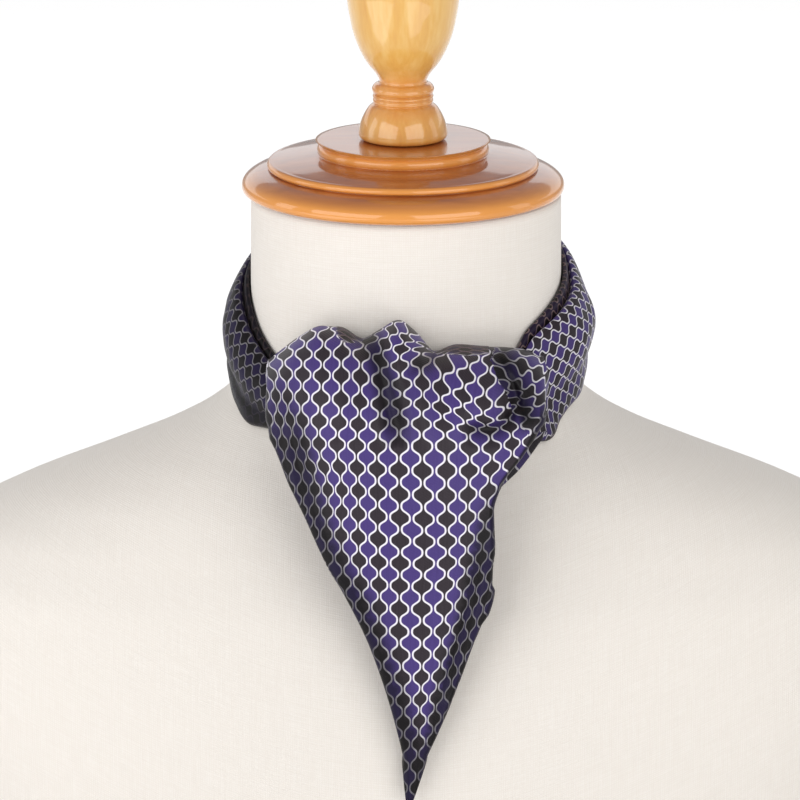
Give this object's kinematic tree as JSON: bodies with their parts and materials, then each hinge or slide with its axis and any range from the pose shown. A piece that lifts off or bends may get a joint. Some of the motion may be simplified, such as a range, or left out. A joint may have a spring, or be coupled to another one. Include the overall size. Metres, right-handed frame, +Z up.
{
  "type": "silk cravat on a dress form",
  "caption": "Patterned silk cravat, its pleated neckband tied at the throat and its puffed blade falling to a point, on a limbless linen dress form with a turned wooden cap and finial.",
  "frame": {"origin": "centre of the part's bounding box at the form's flat underside", "axes": "+Z up the neck, -Y out of the chest where the cravat falls, +X towards the side of the neck that shows at the right from the front"},
  "size_m": [0.4174, 0.222, 0.4843],
  "materials": {
    "silk": "purple and charcoal woven silk with white wave lines, soft sheen",
    "linen": "off-white plain-woven linen, matt",
    "cap_wood": "orange-brown turned wood, varnished",
    "finial_wood": "honey-coloured turned wood, varnished"
  },
  "bodies": {
    "root": {"front_blade": "silk", "under_blade": "silk", "throat_crossing": "silk", "neckband_right": "silk", "neckband_back": "silk", "neckband_left": "silk", "form_body": "linen", "form_cap": "cap_wood", "form_finial": "finial_wood"}
  },
  "joints": []
}
